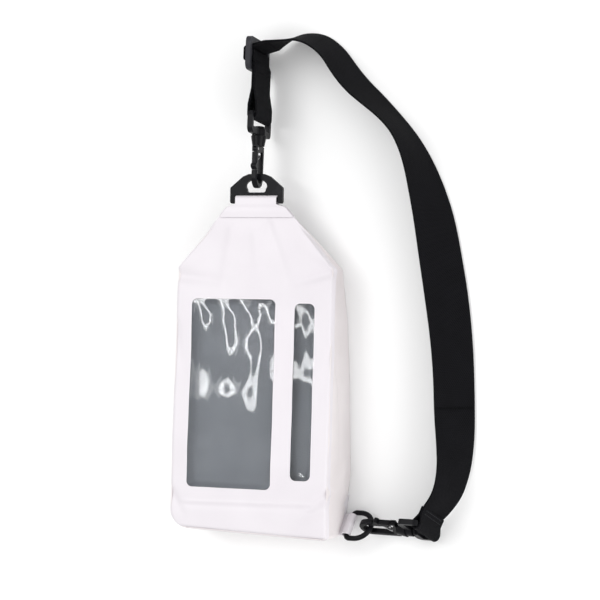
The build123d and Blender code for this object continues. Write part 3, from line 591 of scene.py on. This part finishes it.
# x, y of both ends, depth and width of the creases that packing has left
CREASES = (
    (-0.066, 0.099, -0.026, 0.094, -0.0026, 0.0050), (-0.066, 0.108, -0.036, 0.120, 0.0018, 0.006),
    (0.067, 0.103, 0.030, 0.093, -0.0024, 0.0040), (0.064, 0.111, 0.040, 0.122, 0.0016, 0.005),
    (0.067, -0.072, 0.052, -0.082, -0.0030, 0.0035), (0.066, -0.084, 0.046, -0.092, 0.0020, 0.004),
    (-0.020, 0.137, -0.028, 0.090, 0.0012, 0.0045), (0.010, 0.140, 0.030, 0.092, -0.0012, 0.004),
    (-0.067, -0.076, -0.056, -0.094, -0.0022, 0.0040), (0.0, 0.132, 0.003, 0.098, 0.0010, 0.005),
    (-0.067, 0.060, -0.060, 0.020, -0.0012, 0.0040), (0.067, 0.040, 0.058, 0.000, -0.0012, 0.004),
)


def front_level(x, y):
    """Height of the front panel's outer face."""
    front, _, half, _, _ = section(y)
    over = min(abs(x) / half, 1)
    z = front + 0.0010 * (1 - over ** 2) * (1 - ease(y, 0.09, 0.13))
    z += creases(x, y, 17, 0.0016, 1.0) * (1 - ease(y, 0.13, WELD))
    on_weld = 0.0005 * ease(0.06 - abs(x), 0.0, 0.01)       # the weld below the windows
    z += on_weld * fold_line(y, -0.0825 + 0.03 * x, 0.0012)
    z -= on_weld * fold_line(y, -0.0860 + 0.03 * x, 0.0020)
    for x0, y0, x1, y1, depth, spread in CREASES:
        run, rise = x1 - x0, y1 - y0
        share = min(max(((x - x0) * run + (y - y0) * rise) / (run * run + rise * rise), 0), 1)
        apart = hypot(x - x0 - share * run, y - y0 - share * rise)
        z += depth * fold_line(apart, 0, spread) * (1 - share * 0.8)
    return z


def front_point(u, v):
    y = LIP + (TOP - LIP) * (v ** 1.15)
    over = u * 2 - 1
    side = -1 if over < 0 else 1
    half = section(y)[2] - corner(y, side) + (0.0004 if y < WELD else 0)
    x = over * half
    z = front_level(x, y)
    turned = ease(abs(over), 1 - 0.0035 / half, 1) * (1 - ease(y, 0.13, WELD))
    turned = max(turned, 1 - ease(y, LIP, BOTTOM + 0.0035))
    return slump(x, y, z - TURNED_DOWN * turned ** 2)


front_skin = cloth("front_skin", grid("front", 150, 250, front_point), white_pvc, (0, 0, 1))
for name, left, right_edge, low, high in WINDOWS:
    form = bmesh.new()
    bmesh.ops.create_cube(form, size=1)
    bmesh.ops.scale(form, vec=(right_edge - left, high - low, 0.04), verts=form.verts)
    bmesh.ops.translate(form, vec=((left + right_edge) / 2, (low + high) / 2, 0.042),
                        verts=form.verts)
    upright = [e for e in form.edges if abs(e.verts[0].co.z - e.verts[1].co.z) > 0.01]
    bmesh.ops.bevel(form, geom=upright, offset=WINDOW_CORNER, segments=8, affect="EDGES",
                    profile=0.5, material=-1)
    mesh = bpy.data.meshes.new("cutter")
    form.to_mesh(mesh)
    form.free()
    cutter = bpy.data.objects.new("cutter", mesh)
    bpy.context.scene.collection.objects.link(cutter)
    cut = front_skin.modifiers.new("window", "BOOLEAN")
    cut.operation, cut.solver, cut.object = "DIFFERENCE", "EXACT", cutter
    bpy.context.view_layer.update()
    settle(front_skin)
    bpy.data.objects.remove(cutter)
front_skin.data.shade_smooth()
front_skin.data.set_sharp_from_angle(angle=radians(50))
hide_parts("front_panel")
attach(front_skin, "bag")


# ---------------------------------------------------------------- windows and pocket
# Clear soft film welded behind each opening, with a melted bead along the opening's edge. A
# lining is welded to it further out, so that a flat pocket lies behind the film; its dark grey
# is painted shade inside the pocket.
def film_paint(value):
    haze = value.noise(40.0, 3.0)
    return {"Base_Color": haze.blend((0.86, 0.88, 0.90), (0.96, 0.97, 0.98)),
            "Roughness": 0.03 + haze * 0.06}


film_mat = surface("clear_film_mat", film_paint, Transmission_Weight=1.0, IOR=1.38)
bead_mat = pvc("weld_bead_mat", (0.68, 0.65, 0.68), (0.76, 0.73, 0.76), 0.05, 0.2)
FILM, OVERLAP = 0.0005, 0.005


def opening_edge(left, right_edge, low, high):
    """Points round a window, against the clock from its right side: arcs, then straight runs."""
    points = []
    inner = (left + WINDOW_CORNER, right_edge - WINDOW_CORNER,
             low + WINDOW_CORNER, high - WINDOW_CORNER)
    sides = (((inner[1], inner[3]), (inner[1], inner[0]), high, 24),
             ((inner[0], inner[3]), (inner[3], inner[2]), left, 48),
             ((inner[0], inner[2]), (inner[0], inner[1]), low, 24),
             ((inner[1], inner[2]), (inner[2], inner[3]), right_edge, 48))
    for turn, (centre, run, level, count) in enumerate(sides):
        for step in range(9):
            angle = pi / 2 * (turn + step / 8)
            points.append((centre[0] + WINDOW_CORNER * cos(angle),
                           centre[1] + WINDOW_CORNER * sin(angle)))
        for step in range(1, count):
            along = run[0] + (run[1] - run[0]) * step / count
            points.append((along, level) if turn % 2 == 0 else (level, along))
    return points


for name, left, right_edge, low, high in WINDOWS:
    def film_point(u, v, box=(left, right_edge, low, high)):
        x = box[0] - OVERLAP + (box[1] - box[0] + 2 * OVERLAP) * u
        y = box[2] - OVERLAP + (box[3] - box[2] + 2 * OVERLAP) * v
        inside = min(x - box[0], box[1] - x, y - box[2], box[3] - y)
        slack = ease(inside, 0.0, 0.012)
        flute = sin((x - box[0]) * 2 * pi / 0.021 + 1.1 * noise.noise(Vector((0, y * 12, 2.0))))
        drape = (0.00012 + 0.0003 * ease(y, -0.02, 0.07)) * flute + creases(x, y, 22, 0.00035, 9.0)
        return slump(x, y, front_level(x, y) - WALL - 0.0001 + slack * (drape - 0.0002))

    columns = round((right_edge - left) / 0.0009)
    film = cloth(name + "_window_film", grid(name, columns, 150, film_point), film_mat,
                 (0, 0, 1), FILM)
    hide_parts(name + "_window")
    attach(film, "bag")
    curve = bpy.data.curves.new("bead", "CURVE")
    curve.dimensions, curve.bevel_depth, curve.bevel_resolution = "3D", 0.00045, 3
    spline = curve.splines.new("POLY")
    bead = opening_edge(left, right_edge, low, high)
    spline.points.add(len(bead) - 1)
    for point, (x, y) in zip(spline.points, bead):
        point.co = (*slump(x, y, front_level(x, y) - 0.0003), 1)
    spline.use_cyclic_u = True
    holder = bpy.data.objects.new("bead", curve)
    mesh = bpy.data.meshes.new_from_object(holder)
    bpy.data.objects.remove(holder)
    weld = finished(name + "_window_weld", mesh, bead_mat)
    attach(weld, "bag")


# Dark grey: painted shade for the inside of the pocket, seen through the film.
def pocket_shade_paint(value):
    cloud = value.noise(30.0, 4.0)
    fine = value.noise(900.0, 2.0)
    return {"Base_Color": (cloud * 0.7 + fine * 0.3).blend((0.20, 0.21, 0.23),
                                                           (0.34, 0.355, 0.38)),
            "Roughness": 0.5 + fine * 0.15,
            "Normal": value.node("ShaderNodeBump", Strength=0.3, Distance=0.0003,
                                 Height=fine + cloud)}


POCKET = (-0.058, 0.057, -0.077, 0.0855)


def lining_point(u, v):
    left, right_edge, low, high = POCKET
    x, y = left + (right_edge - left) * u, low + (high - low) * v
    inside = min(x - left, right_edge - x, y - low, high - y)
    deep = 0.0015 + (0.0078 + creases(x, y, 24, 0.0012, 13.0)) * ease(inside, 0.002, 0.010)
    return slump(x, y, front_level(x, y) - deep)


lining = cloth("pocket_lining", grid("lining", 90, 130, lining_point),
               surface("pocket_shade_lining_mat", pocket_shade_paint, Specular_IOR_Level=0.4), (0, 0, 1), 0.0007)
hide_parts("pocket_wall")
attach(lining, "bag")


# ---------------------------------------------------------------- fold, tab and patch
# Tongues of the same fabric: one wraps the hang loop's bar and is welded over the end of the
# gable, one wraps the ring's bar and is welded to a patch on the right side wall.
BAR_Y, BAR_Z, BAR_BEND = 0.1602, 0.0332, 0.0024


def tongue_point(u, v):
    """Along the tongue from the front of the gable, round the bar, to the back of it."""
    root, cling = WELD - 0.001, 0.0003  # its ends reach over the weld; it stands off the bar
    leg, turn = BAR_Y - root, pi * BAR_BEND
    along = v * (2 * leg + turn)
    if along < leg or along > leg + turn:
        y = root + (along if along < leg else 2 * leg + turn - along)
        out = 0.0018 + 0.0007 * ease(y, 0.1535, 0.157) + WALL * 0.3
        out -= 0.0006 * (1 - ease(y, root, WELD + 0.004))
        z = BAR_Z + out * (1 if along < leg else -1)
    else:
        angle = (along - leg) / BAR_BEND
        y = BAR_Y + (BAR_BEND + cling) * sin(angle)
        z = BAR_Z + (BAR_BEND + cling) * cos(angle)
    if y < TOP:
        half = section(y)[2] + 0.0006
    else:
        half = 0.0245 + (0.0174 - 0.0245) * ease(y, TOP, 0.1568)
    return Vector(((u * 2 - 1) * min(half, 0.0310), y, z))


tongue = cloth("top_fold_tongue", grid("tongue", 48, 110, tongue_point), white_pvc, (0, 0, 1),
               0.0007, 70)
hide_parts("top_fold")
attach(tongue, "bag")
for node, name, slot in (("side_tab", "ring_tab_tongue", "white_pvc"),
                         ("tab_patch", "side_patch", "gusset_pvc")):
    piece = node_copy(node, name, white_pvc, 0.00025, 2, 40, 50)
    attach(piece, "bag")


# ---------------------------------------------------------------- zip
# A zip with moulded teeth and end stops on a coated tape, welded on the back gable. The slider
# is moulded too and has a pull that hangs from a pin.
def tape_paint(value):
    x, y, z = value.place(OBJECT)
    rib = (x * (2 * pi / 0.0013)).sine() * ((y - z) * (2 * pi / 0.0016)).sine()
    cloud = value.noise(60.0, 3.0)
    tone = rib * 0.25 + cloud * 0.75
    return {"Base_Color": tone.blend((0.42, 0.42, 0.44), (0.58, 0.58, 0.60)),
            "Roughness": 0.6 + cloud * 0.15,
            "Normal": value.node("ShaderNodeBump", Strength=0.4, Distance=0.0003, Height=rib)}


tape_mat = surface("zip_tape_mat", tape_paint, Specular_IOR_Level=0.3)
zip_plastic = plastic("zip_plastic_mat", (0.16, 0.16, 0.17), (0.26, 0.26, 0.27), 0.34, 2600.0)
for node, name, slot, material, body, bevel in (
        ("zip_tape", "zip_tape_strip", "zip_tape", tape_mat, "bag", 0.0002),
        ("zip_teeth", "zip_teeth_rows", "zip_plastic", zip_plastic, "bag", 0.00025),
        ("zip_stops", "zip_end_stops", "zip_plastic", zip_plastic, "bag", 0.0005),
        ("zip_slider", "zip_slider_body", "zip_plastic", zip_plastic, "zip_runner", 0.0004),
        ("zip_pull", "zip_pull_tab", "zip_plastic", zip_plastic, "zip_tab", 0.0003)):
    piece = node_copy(node, name, material, bevel, 2, 35, 45)
    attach(piece, body)


# ---------------------------------------------------------------- floor and light
# A white sheet to lie on, under an even white sky with two soft boxes and a narrow strip light
# whose reflection draws streaks on the film.
form = bmesh.new()
bmesh.ops.create_grid(form, x_segments=1, y_segments=1, size=4)
floor_mesh = bpy.data.meshes.new("floor")
form.to_mesh(floor_mesh)
form.free()
floor = finished("floor", floor_mesh, surface("floor_mat", lambda value: {
    "Base_Color": value.noise(3.0).blend((0.90, 0.90, 0.90), (0.92, 0.92, 0.92))}, Roughness=0.9))
world = bpy.data.worlds.new("studio")
bpy.context.scene.world = world
world.use_nodes = True
sky = world.node_tree.nodes["Background"].inputs
sky["Color"].default_value, sky["Strength"].default_value = (1, 1, 1, 1), 0.86
for name, place, power, size in (("key", (-0.9, 1.0, 1.9), 13, (1.2, 1.2)),
                                 ("fill", (1.7, -0.4, 0.75), 17, (1.2, 1.6)),
                                 ("strip", (-0.62, 0.30, 1.7), 4, (0.09, 1.1))):
    light = bpy.data.lights.new(name, "AREA")
    light.shape, light.energy = "RECTANGLE", power
    light.size, light.size_y = size
    lamp = bpy.data.objects.new(name, light)
    bpy.context.scene.collection.objects.link(lamp)
    lamp.matrix_world = Matrix.Translation(place) @ Vector(place).to_track_quat(
        "Z", "Y").to_matrix().to_4x4()
bpy.context.scene.view_settings.view_transform = "Standard"
